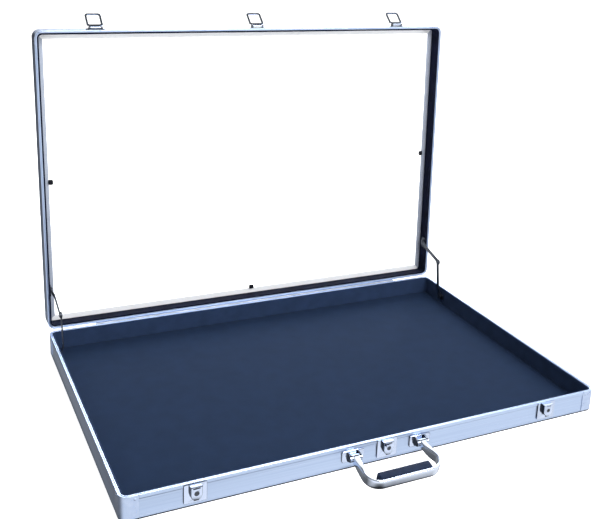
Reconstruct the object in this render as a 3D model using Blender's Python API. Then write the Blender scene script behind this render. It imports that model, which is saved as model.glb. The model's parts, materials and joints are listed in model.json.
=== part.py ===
"""Aluminium display attache case with a clear window in its lid, standing open.

Metres, +Z up. The handle side faces -Y and the origin is the middle of the underside.
The lid and its hasps are modelled shut, under an empty on the hinge axis that then
swings them open. A rim point of either shell is given by u, its distance in from the
outer face, and t, its depth below the rim plane.
"""
import math

import bmesh
import bpy
from mathutils import Matrix, Vector

# Whole case
WIDTH = 0.864
DEPTH = 0.578
BASE_H = 0.040
LID_H = 0.0325
LID_OPEN = math.radians(92)
CLEAR = 0.0003  # running gap between neighbouring pieces

# Extruded side rails and their corner castings
CORNER_R = 0.014
CORNER_LEG = 0.028  # from the outer face to where a rail starts
RIM = 0.0046
RIM_T = 0.0028
WALL = 0.0025
CHAMFER = 0.0006
LIP = 0.0063
STEP = 0.0009  # how far the side band lies behind the lip
BEAD = 0.004
BASE_FLANGE = (0.009, 0.0012, 0.0015)  # width, thickness, and distance in from the outer face
LID_FLANGE = (0.012, 0.0015, 0.0)
GROOVE = (0.0016, 0.0030, 0.0012)  # from u, to u, depth
TONGUE = (0.0019, 0.0027, -0.001)

# Sheets and linings
SHEET_U = WALL + CLEAR
LINING = (RIM + CLEAR, 0.0079)  # from u, to u
LINING_T = 0.0004  # its edge shows beside the rim
PANEL_T = 0.0012
PAD_T = 0.0026
WINDOW_T = 0.0027
BEZEL_T = 0.0012
BEZEL_W = 0.018
CLIP = (0.010, 0.0085, 0.004)  # along the edge, across it, thickness
CLIP_U = 0.017

# Continuous hinge behind the back rails
HINGE_HALF = 0.340
KNUCKLES = 17
KNUCKLE_R = 0.0021
BORE_R = 0.0012
PIN_R = 0.0009
LEAF_T = 0.0010
LEAF_H = 0.018
LEAF_GAP = 0.0024  # from the hinge axis to where the flat of a leaf starts
AXIS = Vector((0.0, DEPTH / 2 + KNUCKLE_R + CLEAR, BASE_H))

# Three latches
LATCH_X = {"left": -0.321, "centre": 0.0, "right": 0.321}
PLATE_W = 0.036
PLATE_T = 0.0010
BOSS_W = 0.018
BOSS_H = 0.0067
BOSS_Z = 0.023  # centre of the boss's round lower end
BOSS_TOP = 0.036
PLUG_R = 0.0032
PLUG_Z = 0.0252
CATCH = (0.008, 0.0010, 0.0062)  # width, thickness, length
CATCH_OFF = 0.0053  # its back face, out from the case's front
HASP_W = 0.030
HASP_BAR = 0.0035  # width of the loop all round
HASP_T = 0.0020
HASP_PIVOT = Vector((0.0, -DEPTH / 2 - 0.0040, BASE_H + CLEAR + 0.0050))
HASP_OPEN = math.radians(138)
HASP_BARREL = 0.0091  # half length
HASP_KNUCKLE_R = 0.0023
HASP_PIN_R = 0.0011

# Handle
HANDLE_X = 0.0615  # middle of each arm's root
HANDLE_PIVOT = Vector((0.0, -DEPTH / 2 - 0.0080, 0.0225))
HANDLE_DROOP = math.radians(12)
HANDLE_REACH = 0.066
HANDLE_HALF = 0.0685
ROOT_W = 0.014
BAND_T = 0.0045
BAND_HALF_H = 0.0082
HANDLE_CORNER_R = 0.026
HANDLE_KNUCKLE_R = 0.006
HANDLE_PIN_R = 0.0018
GRIP_HALF = 0.0465
GRIP_DEPTH = 0.0164
GRIP_HALF_H = 0.0076

# Folding stays: a parallelogram on the hinge axis, so each arm turns with the lid
STAY_BASE = Vector((0.0, -0.076, -0.021))  # base pivot from the hinge axis
STAY_LID = Vector((0.0, 0.013, 0.080))  # lid pivot from the hinge axis, lid open
STAY_PLANE = 0.4162  # inner face of the lower arm
ARM_T = 0.0015
ARM_HALF_W = 0.0045
ARM_END_R = 0.0065
ARM_BEND = (0.008, 0.020)  # where the joggle starts and ends
ARM_END_X = 0.4205  # inner face of a joggled end
STAY_PIN_R = 0.0020
STAY_HEAD_R = 0.0042

RIVET_R = 0.0020
RIVET_H = 0.0008
RIVET_IN = 0.022  # from the case's nearer side face
RIVET_T = 0.006

OUTWARD = {"front": (0, -1), "back": (0, 1), "left": (-1, 0), "right": (1, 0)}
CORNERS = {"front_left": 180, "front_right": 270, "back_right": 0, "back_left": 90}


def srgb(text):
    """Hex colour to linear RGBA."""
    values = [int(text[i:i + 2], 16) / 255 for i in (0, 2, 4)]
    return [v / 12.92 if v <= 0.04045 else ((v + 0.055) / 1.055) ** 2.4 for v in values] + [1.0]


def material(name, colour, roughness, metallic, transmission=0.0):
    """A Principled BSDF material."""
    mat = bpy.data.materials.new(name)
    mat.use_nodes = True
    shader = mat.node_tree.nodes["Principled BSDF"]
    shader.inputs["Base Color"].default_value = srgb(colour)
    shader.inputs["Roughness"].default_value = roughness
    shader.inputs["Metallic"].default_value = metallic
    shader.inputs["Transmission Weight"].default_value = transmission
    mat.diffuse_color = srgb(colour)
    return mat


def finish(bm, name):
    """Turns a closed bmesh into a mesh with outward normals, smooth but for its edges."""
    bmesh.ops.remove_doubles(bm, verts=bm.verts, dist=1e-7)
    bmesh.ops.recalc_face_normals(bm, faces=bm.faces)
    mesh = bpy.data.meshes.new(name)
    bm.to_mesh(mesh)
    bm.free()
    mesh.shade_smooth()
    mesh.set_sharp_from_angle(angle=math.radians(35))
    return mesh


def place(name, mesh, mat, at=(0, 0, 0), turn=0.0, parent=None):
    """An object of this mesh at a place under its parent, turned about X."""
    obj = bpy.data.objects.new(name, mesh)
    bpy.context.scene.collection.objects.link(obj)
    if not mesh.materials:
        mesh.materials.append(mat)
    obj.parent = parent
    obj.location = Vector(at) - (AXIS if parent is not None and parent.type == "EMPTY" else Vector())
    obj.rotation_euler.x = turn
    return obj


def lay(axis, a, b, c):
    """A point from its place c along an axis and its two others, in X, Y, Z order."""
    return {"X": (c, a, b), "Y": (a, c, b), "Z": (a, b, c)}[axis]


def prism(outline, lo, hi, axis, bevel=0.0, segments=2):
    """Extrudes a 2-D outline along an axis from lo to hi. A bevel rounds the edges at hi."""
    bm = bmesh.new()
    ends = [[bm.verts.new(lay(axis, a, b, c)) for a, b in outline] for c in (lo, hi)]
    bm.faces.new(ends[0])
    cap = bm.faces.new(ends[1][::-1])
    for i in range(len(outline)):
        j = (i + 1) % len(outline)
        bm.faces.new((ends[0][j], ends[0][i], ends[1][i], ends[1][j]))
    bmesh.ops.recalc_face_normals(bm, faces=bm.faces)
    if bevel:
        bmesh.ops.bevel(bm, geom=list(cap.edges), offset=bevel, segments=segments,
                        profile=0.5, affect="EDGES")
    return bm


def rectangle(a0, a1, b0, b1):
    """Outline of a rectangle."""
    return [(a0, b0), (a1, b0), (a1, b1), (a0, b1)]


def arc(ca, cb, radius, start, end, steps):
    """Points round a centre from one angle to another, in degrees."""
    angles = [math.radians(start + (end - start) * i / steps) for i in range(steps + 1)]
    return [(ca + radius * math.cos(q), cb + radius * math.sin(q)) for q in angles]


def rounded_rect(half_a, half_b, radius, steps=6, ca=0.0, cb=0.0):
    """Outline of a rectangle with round corners."""
    points = []
    for start, sa, sb in ((0, 1, 1), (90, -1, 1), (180, -1, -1), (270, 1, -1)):
        centre = (ca + sa * (half_a - radius), cb + sb * (half_b - radius))
        points += arc(*centre, radius, start, start + 90, steps)
    return points


def cylinder(axis, ca, cb, radius, lo, hi, steps=16):
    """A round bar along an axis."""
    return prism(arc(ca, cb, radius, 0, 360, steps)[:-1], lo, hi, axis)


def loft(rings, closed=False):
    """Joins rings of points into one solid, as a loop or with two flat ends."""
    bm = bmesh.new()
    loops = [[bm.verts.new(p) for p in ring] for ring in rings]
    pairs = list(zip(loops, loops[1:] + loops[:1])) if closed else list(zip(loops, loops[1:]))
    for one, two in pairs:
        for i in range(len(one)):
            j = (i + 1) % len(one)
            bm.faces.new((one[i], one[j], two[j], two[i]))
    if not closed:
        bm.faces.new(loops[0][::-1])
        bm.faces.new(loops[-1])
    bmesh.ops.recalc_face_normals(bm, faces=bm.faces)
    return bm


def combine(body, *tools, operation="UNION"):
    """Unites or cuts one bmesh with others by an exact Boolean, one after another."""
    for tool in tools:
        objects = [place("work", finish(bm, "work"), None) for bm in (body, tool)]
        change = objects[0].modifiers.new("join", "BOOLEAN")
        change.operation = operation
        change.object = objects[1]
        view = bpy.context.evaluated_depsgraph_get()
        body = bmesh.new()
        body.from_mesh(objects[0].evaluated_get(view).to_mesh())
        for obj in objects:
            mesh = obj.data
            bpy.data.objects.remove(obj)
            bpy.data.meshes.remove(mesh)
    return body


def shifted(bm, offset):
    """Moves a bmesh and returns it."""
    bmesh.ops.translate(bm, verts=bm.verts, vec=offset)
    return bm


# --- shells -------------------------------------------------------------------------------


def rim_height(shell, t):
    """World height, lid shut, of depth t below the rim plane of the base or the lid."""
    return BASE_H - t if shell == "base" else BASE_H + CLEAR + t


def rail_profile(depth, flange, mark, plain):
    """Closed (u, t) outline of a shell's wall: rim, inner wall, outer flange, bead, band, lip."""
    width, thick, inset = flange
    u0, u1, deep = mark
    under = depth - inset
    points = [(CHAMFER, 0), (u0, 0), (u0, deep), (u1, deep), (u1, 0)]
    points += [(RIM - CHAMFER, 0), (RIM, CHAMFER), (RIM, RIM_T), (WALL, RIM_T)]
    points += [(WALL, under - thick), (width, under - thick), (width, under)]
    if inset:
        points += [(WALL, under), (WALL, depth)]
    points += [(CHAMFER, depth), (0, depth - CHAMFER)]
    if not plain:
        points += [(0, depth - BEAD), (STEP, depth - BEAD - STEP), (STEP, LIP + STEP), (0, LIP)]
    return points + [(0, CHAMFER)]


def wall_ring(shell, profile, x, y, out):
    """The profile's points where the outer face passes (x, y) and faces along out."""
    return [(x - out[0] * u, y - out[1] * u, rim_height(shell, t)) for u, t in profile]


def rail(shell, side, profile):
    """A straight rail between two corner castings."""
    out = OUTWARD[side]
    along = Vector((abs(out[1]), abs(out[0])))
    face = Vector((out[0] * WIDTH / 2, out[1] * DEPTH / 2))
    half = (WIDTH if out[1] else DEPTH) / 2 - CORNER_LEG - CLEAR
    ends = [face + along * s * half for s in (-1, 1)]
    return loft([wall_ring(shell, profile, *p, out) for p in ends])


def rivet_head(at, z, out):
    """A low round head standing on the outer face that looks along out."""
    sign = out.x + out.y
    level, across = (at.x, at.y) if out.x else (at.y, at.x)
    outline = arc(across, z, RIVET_R, 0, 360, 12)[:-1]
    return prism(outline, level - sign * RIVET_H / 2, level + sign * RIVET_H,
                 "X" if out.x else "Y", RIVET_H * 0.6, 1)


def corner(shell, start, profile):
    """A casting round one corner, with a straight leg and a rivet head at each end."""
    first, last = [Vector((round(math.cos(q)), round(math.sin(q))))
                   for q in (math.radians(start), math.radians(start + 90))]
    diagonal = first + last
    centre = Vector((diagonal.x * (WIDTH / 2 - CORNER_R), diagonal.y * (DEPTH / 2 - CORNER_R)))
    leg = CORNER_LEG - CORNER_R
    stations = [(centre + first * CORNER_R - last * leg, first)]
    for share, rise in arc(0, 0, 1, 0, 90, 8):
        out = first * share + last * rise
        stations.append((centre + out * CORNER_R, out))
    stations.append((centre + last * CORNER_R - first * leg, last))
    bm = loft([wall_ring(shell, profile, *p, out) for p, out in stations])
    z = rim_height(shell, RIVET_T)
    for face, other in ((first, last), (last, first)):
        at = centre + face * CORNER_R - other * (RIVET_IN - CORNER_R)
        bm = combine(bm, rivet_head(at, z, face))
    return bm


def inner_outline(u, radius=None):
    """Rounded outline all round the case at a distance u in from its outer faces."""
    return rounded_rect(WIDTH / 2 - u, DEPTH / 2 - u, CORNER_R - u if radius is None else radius)


def sheet(shell, u, t0, t1):
    """A flat sheet that fills the case's outline out to u."""
    z0, z1 = sorted((rim_height(shell, t0), rim_height(shell, t1)))
    return prism(inner_outline(u), z0, z1, "Z")


def band(shell, u0, u1, t0, t1, inner_radius=None):
    """A closed frame between two outlines, from depth t0 to t1."""
    outer, inner = inner_outline(u0), inner_outline(u1, inner_radius)
    z0, z1 = rim_height(shell, t0), rim_height(shell, t1)
    return loft([[(*o, z0), (*o, z1), (*i, z1), (*i, z0)] for o, i in zip(outer, inner)], True)


def build_shell(shell, depth, flange, mark, mats, parent):
    """Rails and corner castings of the base or the lid."""
    for side in OUTWARD:
        bm = rail(shell, side, rail_profile(depth, flange, mark, False))
        name = f"{shell}_rail_{side}"
        shell_piece(name, bm, mats["rail"], parent)
    for spot, start in CORNERS.items():
        bm = corner(shell, start, rail_profile(depth, flange, mark, True))
        name = f"{shell}_corner_{spot}"
        shell_piece(name, bm, mats["corner"], parent)


def shell_piece(name, bm, mat, parent):
    """Places a piece drawn in the shut case's coordinates, on the lid's pivot if it has one."""
    if parent is None:
        return place(name, finish(bm, name), mat)
    return place(name, finish(shifted(bm, -AXIS), name), mat, AXIS, 0.0, parent)


def build_base_sheets(mats):
    """Bottom panel under the rails' flange, wall lining, and the padded floor above it."""
    thick, inset = BASE_FLANGE[1:]
    top = BASE_H - inset - thick - CLEAR
    shell_piece("base_panel", sheet("base", SHEET_U, BASE_H, BASE_H - PANEL_T), mats["sheet"], None)
    shell_piece("base_lining", band("base", *LINING, LINING_T, top), mats["lining"], None)
    shell_piece("base_pad", sheet("base", LINING[1] + CLEAR, top, top - PAD_T), mats["pad"], None)


def build_lid_sheets(mats, pivot):
    """Clear window against the lid's flange, the bezel that holds it, lining and clips."""
    outer = LID_H - LID_FLANGE[1] - CLEAR
    window = outer - WINDOW_T
    bezel = window - CLEAR - BEZEL_T
    shell_piece("lid_window", sheet("lid", SHEET_U, outer, window), mats["window"], pivot)
    shell_piece("lid_bezel", band("lid", SHEET_U, BEZEL_W, bezel, bezel + BEZEL_T, 0.002),
                mats["rail"], pivot)
    shell_piece("lid_lining", band("lid", *LINING, LINING_T, bezel - CLEAR),
                mats["lining"], pivot)
    low = rim_height("lid", bezel - CLEAR)
    along, across, thick = CLIP
    for side in ("back", "left", "right"):
        out = OUTWARD[side]
        far = (WIDTH / 2 if out[0] else DEPTH / 2) - CLIP_U - across / 2
        half_x = (across if out[0] else along) / 2
        half_y = (along if out[0] else across) / 2
        outline = rounded_rect(half_x, half_y, 0.0022, 3, out[0] * far, out[1] * far)
        clip = prism(outline, low, low - thick, "Z", 0.0008, 1)
        shell_piece(f"lid_clip_{side}", clip, mats["plastic"], pivot)


# --- hinge --------------------------------------------------------------------------------


def knuckle_outline(up):
    """Rolled end of a leaf round the pin, from the leaf's outer corner to its inner one."""
    sign = 1 if up else -1
    outer = arc(0, 0, KNUCKLE_R, 180, -100, 10)
    inner = arc(0, 0, BORE_R, -100, 180, 10)
    points = [(-KNUCKLE_R, -LEAF_GAP)] + outer + inner
    points.append((-KNUCKLE_R + LEAF_T, -LEAF_GAP))
    return [(y, -sign * z) for y, z in points]


def hinge_leaf(up, first):
    """A flat leaf with every second knuckle rolled onto its edge."""
    sign = 1 if up else -1
    pitch = 2 * HINGE_HALF / KNUCKLES
    gap = 0.0004
    spans = [(j * pitch - HINGE_HALF + gap / 2, (j + 1) * pitch - HINGE_HALF - gap / 2)
             for j in range(first, KNUCKLES, 2)]
    stations = sorted({-HINGE_HALF, HINGE_HALF, *[x for span in spans for x in span]})
    near, far = sign * LEAF_GAP, sign * LEAF_H
    inside, outside = -KNUCKLE_R, -KNUCKLE_R + LEAF_T
    bm = bmesh.new()
    rows = [[bm.verts.new((x, y, z)) for y, z in ((inside, near), (outside, near),
                                                  (outside, far), (inside, far))]
            for x in stations]
    bm.faces.new(rows[0])
    bm.faces.new(rows[-1])
    for x, one, two in zip(stations, rows, rows[1:]):
        for i, j in ((1, 2), (2, 3), (3, 0)):
            bm.faces.new((one[i], one[j], two[j], two[i]))
        if x not in [span[0] for span in spans]:
            bm.faces.new((one[0], one[1], two[1], two[0]))
            continue
        middle = knuckle_outline(up)[1:-1]
        ends = []
        for row in (one, two):
            rolled = [bm.verts.new((row[0].co.x, y, z)) for y, z in middle]
            ends.append([row[0], *rolled, row[1]])
            bm.faces.new(ends[-1])
        for i in range(len(ends[0]) - 1):
            bm.faces.new((ends[0][i], ends[0][i + 1], ends[1][i + 1], ends[1][i]))
    return bm


def build_hinge(mats, pivot):
    """Base leaf, pin and lid leaf, all drawn round the hinge axis."""
    place("base_hinge_leaf", finish(hinge_leaf(False, 0), "base_hinge_leaf"), mats["steel"], AXIS)
    pin = cylinder("X", 0, 0, PIN_R, -HINGE_HALF, HINGE_HALF, 10)
    place("hinge_pin", finish(pin, "hinge_pin"), mats["steel"], AXIS)
    place("lid_hinge_leaf", finish(hinge_leaf(True, 1), "lid_hinge_leaf"), mats["steel"],
          AXIS, 0.0, pivot)


# --- latches ------------------------------------------------------------------------------


def out_of_front(distance):
    """Y of a plane this far out from the case's front face."""
    return -DEPTH / 2 - distance


def boss_outline(half, top, bottom_radius):
    """An upright tab with a round lower end, centred on X."""
    return [(half, top), (-half, top)] + arc(0, BOSS_Z, bottom_radius, 180, 360, 12)


def keeper_mesh():
    """Back plate and tab that a hasp drops over, bored for the plug and cut for the catch."""
    z0, z1 = 0.0065, 0.0385
    face = CLEAR + PLATE_T
    plate = prism(rounded_rect(PLATE_W / 2, (z1 - z0) / 2, 0.002, 3, 0.0, (z0 + z1) / 2),
                  out_of_front(CLEAR), out_of_front(face), "Y")
    half = BOSS_W / 2
    boss = prism(boss_outline(half, BOSS_TOP, half), out_of_front(CLEAR + PLATE_T / 2),
                 out_of_front(face + BOSS_H), "Y", 0.0009)
    front = out_of_front(face + BOSS_H + 0.001)
    bore = cylinder("Y", 0, PLUG_Z, PLUG_R + CLEAR, out_of_front(0.0025), front)
    width, thick, length = CATCH
    low = BOSS_Z - half - 0.001
    pocket = prism(rectangle(-width / 2 - CLEAR, width / 2 + CLEAR, low, low + 0.0076),
                   out_of_front(CATCH_OFF - CLEAR), out_of_front(CATCH_OFF + thick + CLEAR), "Y")
    slot = prism(rectangle(-0.005, 0.005, BOSS_TOP - 0.003, BOSS_TOP - 0.0018),
                 out_of_front(face + BOSS_H - 0.0012), front, "Y")
    return finish(combine(combine(plate, boss), bore, pocket, slot, operation="DIFFERENCE"), "latch_keeper")


def plug_mesh():
    """Lock cylinder with a key slot, on its own axis."""
    reach = CLEAR + PLATE_T + BOSS_H
    body = cylinder("Y", 0, 0, PLUG_R, -0.0028, -reach - CLEAR)
    slot = prism(rectangle(-0.0021, 0.0021, -0.0005, 0.0005), -reach + 0.0015, -reach - 0.001, "Y")
    return finish(combine(body, slot, operation="DIFFERENCE"), "lock_plug")


def catch_mesh():
    """Spring tongue whose tip stands out below the keeper's tab."""
    width, thick, length = CATCH
    outline = rectangle(-width / 2, width / 2, 0.0, length)
    return finish(prism(outline, 0.0, -thick, "Y"), "latch_catch")


def hasp_mount_mesh():
    """Plate, ears, pin and two rivets that hold a hasp on the lid, round the hasp's pivot."""
    back = 0.0040 - CLEAR
    plate = prism(rounded_rect(0.017, 0.0095, 0.002, 3, 0.0, 0.0055), back, back - PLATE_T, "Y")
    extras = []
    for side in (-1, 1):
        x0, x1 = sorted((side * (HASP_BARREL + CLEAR), side * 0.013))
        web = rectangle(0.0, back - PLATE_T / 2, -HASP_KNUCKLE_R * 0.8, HASP_KNUCKLE_R * 0.8)
        extras.append(prism(web, x0, x1, "X"))
        extras.append(cylinder("X", 0, 0, HASP_KNUCKLE_R, x0, x1))
        head = arc(side * 0.0125, 0.0105, RIVET_R, 0, 360, 12)[:-1]
        extras.append(prism(head, back - PLATE_T / 2, back - PLATE_T - RIVET_H, "Y", 0.0005, 1))
    pin = cylinder("X", 0, 0, HASP_PIN_R, -0.0125, 0.0125, 12)
    return finish(combine(plate, *extras, pin), "hasp_mount")


def hasp_mesh():
    """Hinged loop that hangs over the keeper's tab when shut, round its pivot."""
    half = HASP_W / 2
    tip = BOSS_Z - BOSS_W / 2 - CLEAR - HASP_BAR - HASP_PIVOT.z
    corner_r = 0.0050
    outline = arc(-half + corner_r, tip + corner_r, corner_r, 180, 270, 6)
    outline += arc(half - corner_r, tip + corner_r, corner_r, 270, 360, 6)
    shoulder, neck = -0.0060, -0.0034
    outline += [(half, shoulder), (HASP_BARREL, neck), (HASP_BARREL, 0)]
    outline += [(-HASP_BARREL, 0), (-HASP_BARREL, neck), (-half, shoulder)]
    frame = prism(outline, HASP_T / 2, -HASP_T / 2, "Y")
    low, high = tip + HASP_BAR, BOSS_TOP + 0.0018 - HASP_PIVOT.z
    window = rounded_rect(half - HASP_BAR, (high - low) / 2, 0.0025, 4, 0.0, (low + high) / 2)
    opening = prism(window, HASP_T, -HASP_T, "Y")
    barrel = cylinder("X", 0, 0, HASP_KNUCKLE_R, -HASP_BARREL, HASP_BARREL)
    bore = cylinder("X", 0, 0, HASP_PIN_R + CLEAR, -0.02, 0.02, 12)
    return finish(combine(combine(frame, barrel), opening, bore, operation="DIFFERENCE"), "hasp")


def build_latches(mats, pivot):
    """Keeper, plug and catch on the base, mount and hasp on the lid, at three places."""
    meshes = [keeper_mesh(), plug_mesh(), catch_mesh(), hasp_mount_mesh(), hasp_mesh()]
    catch_low = BOSS_Z - BOSS_W / 2 - 0.0015
    for side, x in LATCH_X.items():
        place(f"latch_keeper_{side}", meshes[0], mats["chrome"], (x, 0, 0))
        place(f"lock_plug_{side}", meshes[1], mats["chrome"], (x, out_of_front(0), PLUG_Z))
        place(f"latch_catch_{side}", meshes[2], mats["steel"],
              (x, out_of_front(CATCH_OFF), catch_low))
        at = HASP_PIVOT + Vector((x, 0, 0))
        place(f"hasp_mount_{side}", meshes[3], mats["chrome"], at, 0.0, pivot)
        place(f"hasp_{side}", meshes[4], mats["chrome"], at, -HASP_OPEN, pivot)


# --- handle -------------------------------------------------------------------------------


def bail_half(v0, half, reach, radius, root_half, steps=8):
    """One side of a handle outline in plan: root, arm, round corner, and middle of the front."""
    arm_end = reach - radius
    points = []
    for i in range(4):
        share = i / 4
        points.append((root_half + (half - root_half) * share, v0 + (arm_end - v0) * share))
    points += arc(half - radius, arm_end, radius, 0, 90, steps)
    return points


def bail_mesh():
    """A flat strap bent to a D, its arms widening to barrels on the pivot, drawn level."""
    outer = bail_half(0.0, HANDLE_HALF, HANDLE_REACH, HANDLE_CORNER_R, HANDLE_HALF - 0.0005)
    inner = bail_half(0.0, HANDLE_HALF - BAND_T, HANDLE_REACH - BAND_T,
                      HANDLE_CORNER_R - BAND_T, HANDLE_HALF - ROOT_W + 0.0005)
    outer += [(-x, v) for x, v in reversed(outer)]
    inner += [(-x, v) for x, v in reversed(inner)]
    cut = 0.0010
    rings = []
    for (xo, vo), (xi, vi) in zip(outer, inner):
        rise = min(1.0, (vo + vi) / 2 / 0.030)
        h = 0.0054 + (BAND_HALF_H - 0.0054) * rise * rise * (3 - 2 * rise)
        o, i = Vector((xo, -vo)), Vector((xi, -vi))
        across = (i - o).normalized() * cut
        section = [(o, -h + cut), (o + across, -h), (i - across, -h), (i, -h + cut),
                   (i, h - cut), (i - across, h), (o + across, h), (o, h - cut)]
        rings.append([(p.x, p.y, z) for p, z in section])
    body = loft(rings)
    for side in (-1, 1):
        x0, x1 = sorted((side * (HANDLE_HALF - ROOT_W), side * HANDLE_HALF))
        body = combine(body, cylinder("X", 0, 0, HANDLE_KNUCKLE_R, x0, x1, 20))
        bore = cylinder("X", 0, 0, HANDLE_PIN_R + CLEAR, x0 - 0.001, x1 + 0.001, 12)
        body = combine(body, bore, operation="DIFFERENCE")
    return finish(body, "handle_bail")


def grip_mesh():
    """Padded grip inside the strap's front run, drawn level round the handle's pivot."""
    middle = -(HANDLE_REACH - BAND_T - 2 * CLEAR - GRIP_DEPTH / 2)
    edge = 0.0035
    rings = []
    for inward, rise in arc(0, 0, edge, -90, 90, 8):
        z = rise + math.copysign(GRIP_HALF_H - edge, rise) * (abs(rise) > edge / 10)
        inset = edge - inward
        outline = rounded_rect(GRIP_HALF - inset, GRIP_DEPTH / 2 - inset, 0.004, 3, 0.0, middle)
        rings.append([(x, y, z) for x, y in outline])
    return finish(loft(rings), "handle_grip")


def handle_bracket_mesh():
    """Foot plate on the front band, two cheeks and the pin between them, round the pivot."""
    inner = -(HANDLE_PIVOT.y + DEPTH / 2) + STEP - CLEAR
    plate_front = inner - 0.0020
    plate = prism(rounded_rect(0.0195, 0.0100, 0.003, 3), inner, plate_front, "Y", 0.0006, 1)
    parts = []
    for side in (-1, 1):
        x0, x1 = sorted((side * (ROOT_W / 2 + 0.0004), side * (ROOT_W / 2 + 0.0034)))
        cheek = arc(0, 0, 0.0058, 90, 270, 8) + [(plate_front + 0.0010, -0.0085),
                                                 (plate_front + 0.0010, 0.0085)]
        parts.append(prism(cheek, x0, x1, "X"))
    pin = cylinder("X", 0, 0, HANDLE_PIN_R, -ROOT_W / 2 - 0.0028, ROOT_W / 2 + 0.0028, 12)
    return finish(combine(plate, *parts, pin), "handle_bracket")


def build_handle(mats):
    """Two brackets on the front, the bail between them and its grip, hanging a little."""
    bracket = handle_bracket_mesh()
    for side, x in (("left", -HANDLE_X), ("right", HANDLE_X)):
        place(f"handle_bracket_{side}", bracket, mats["chrome"], HANDLE_PIVOT + Vector((x, 0, 0)))
    place("handle_bail", bail_mesh(), mats["chrome"], HANDLE_PIVOT, HANDLE_DROOP)
    place("handle_grip", grip_mesh(), mats["plastic"], HANDLE_PIVOT, HANDLE_DROOP)


# --- lid stays ----------------------------------------------------------------------------


def arm_outline(length, end_radius):
    """A flat link along +Y with a round eye at each end."""
    open_angle = math.degrees(math.asin(ARM_HALF_W / end_radius))
    first = arc(0, 0, end_radius, open_angle, 360 - open_angle, 12)
    second = arc(length, 0, end_radius, 180 + open_angle, 540 - open_angle, 12)
    return first + second


def arm_solid(length, side, plane):
    """A link whose eye at the origin is joggled out towards the side wall."""
    bm = prism(arm_outline(length, ARM_END_R), plane, plane + ARM_T, "X")
    for t in ARM_BEND:
        everything = list(bm.verts) + list(bm.edges) + list(bm.faces)
        bmesh.ops.bisect_plane(bm, geom=everything, plane_co=(0, t, 0), plane_no=(0, 1, 0))
    start, end = ARM_BEND
    for vert in bm.verts:
        share = min(1.0, max(0.0, (end - vert.co.y) / (end - start)))
        vert.co.x += (ARM_END_X - plane) * share
        vert.co.x *= side
    bmesh.ops.recalc_face_normals(bm, faces=bm.faces)
    return bm


def round_on(side, x0, x1, y, radius, steps=16):
    """A short round bar across a link, between two distances from the case's middle."""
    lo, hi = sorted((side * x0, side * x1))
    return cylinder("X", y, 0, radius, lo, hi, steps)


def eye(side, y):
    """A clearance hole through a link."""
    return round_on(side, STAY_PLANE - 0.005, ARM_END_X + 0.010, y, STAY_PIN_R + CLEAR)


def lower_arm(side, length):
    """Link on the base pivot, with the elbow pin and its two heads at its far end."""
    upper_plane = STAY_PLANE + ARM_T + CLEAR
    bm = combine(arm_solid(length, side, STAY_PLANE), eye(side, 0), operation="DIFFERENCE")
    head = upper_plane + ARM_T + CLEAR
    pin = round_on(side, STAY_PLANE + ARM_T / 2, head + 0.0005, length, STAY_PIN_R)
    inner = round_on(side, STAY_PLANE - 0.0010, STAY_PLANE + ARM_T / 3, length, STAY_HEAD_R)
    outer = round_on(side, head, head + 0.0010, length, STAY_HEAD_R)
    return combine(bm, pin, inner, outer)


def stay_mount(side):
    """Plate on the side lining with a headed pivot pin, drawn round the pivot."""
    wall = WIDTH / 2 - LINING[1] - CLEAR
    thick = 0.0010
    lo, hi = sorted((side * wall, side * (wall - thick)))
    plate = prism(rounded_rect(0.012, 0.0065, 0.003, 3), lo, hi, "X")
    washer = round_on(side, wall - thick / 2, ARM_END_X + ARM_T + CLEAR, 0, 0.0045)
    pin = round_on(side, wall - thick / 2, ARM_END_X - CLEAR - 0.0005, 0, STAY_PIN_R)
    head = round_on(side, ARM_END_X - CLEAR, ARM_END_X - CLEAR - 0.0010, 0, STAY_HEAD_R)
    return combine(plate, washer, pin, head)


def slope(vector):
    """Turn about X that takes +Y onto a direction in the side plane."""
    return math.atan2(vector.z, vector.y)


def build_stays(mats, pivot):
    """A two-link folding stay inside each side wall, pinned to the base and the lid."""
    upper_plane = STAY_PLANE + ARM_T + CLEAR
    shut = Matrix.Rotation(LID_OPEN, 3, "X") @ STAY_LID
    for name, side in (("left", -1), ("right", 1)):
        base_at = AXIS + STAY_BASE
        low_turn, up_turn = slope(STAY_LID), slope(STAY_BASE)
        place(f"stay_mount_{name}", finish(stay_mount(side), "stay_mount"), mats["steel"], base_at)
        place(f"lid_stay_mount_{name}", finish(stay_mount(side), "lid_stay_mount"), mats["steel"],
              AXIS + shut, 0.0, pivot)
        low = place(f"stay_lower_arm_{name}", finish(lower_arm(side, STAY_LID.length), "stay_lower"),
                    mats["steel"], base_at, low_turn)
        bm = arm_solid(STAY_BASE.length, side, upper_plane)
        bm = combine(bm, eye(side, 0), eye(side, STAY_BASE.length), operation="DIFFERENCE")
        bmesh.ops.translate(bm, verts=bm.verts, vec=(0, -STAY_BASE.length, 0))
        elbow = (0, STAY_LID.length, 0)
        place(f"stay_upper_arm_{name}", finish(bm, "stay_upper"), mats["steel"], elbow,
              up_turn - low_turn, low)


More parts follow.
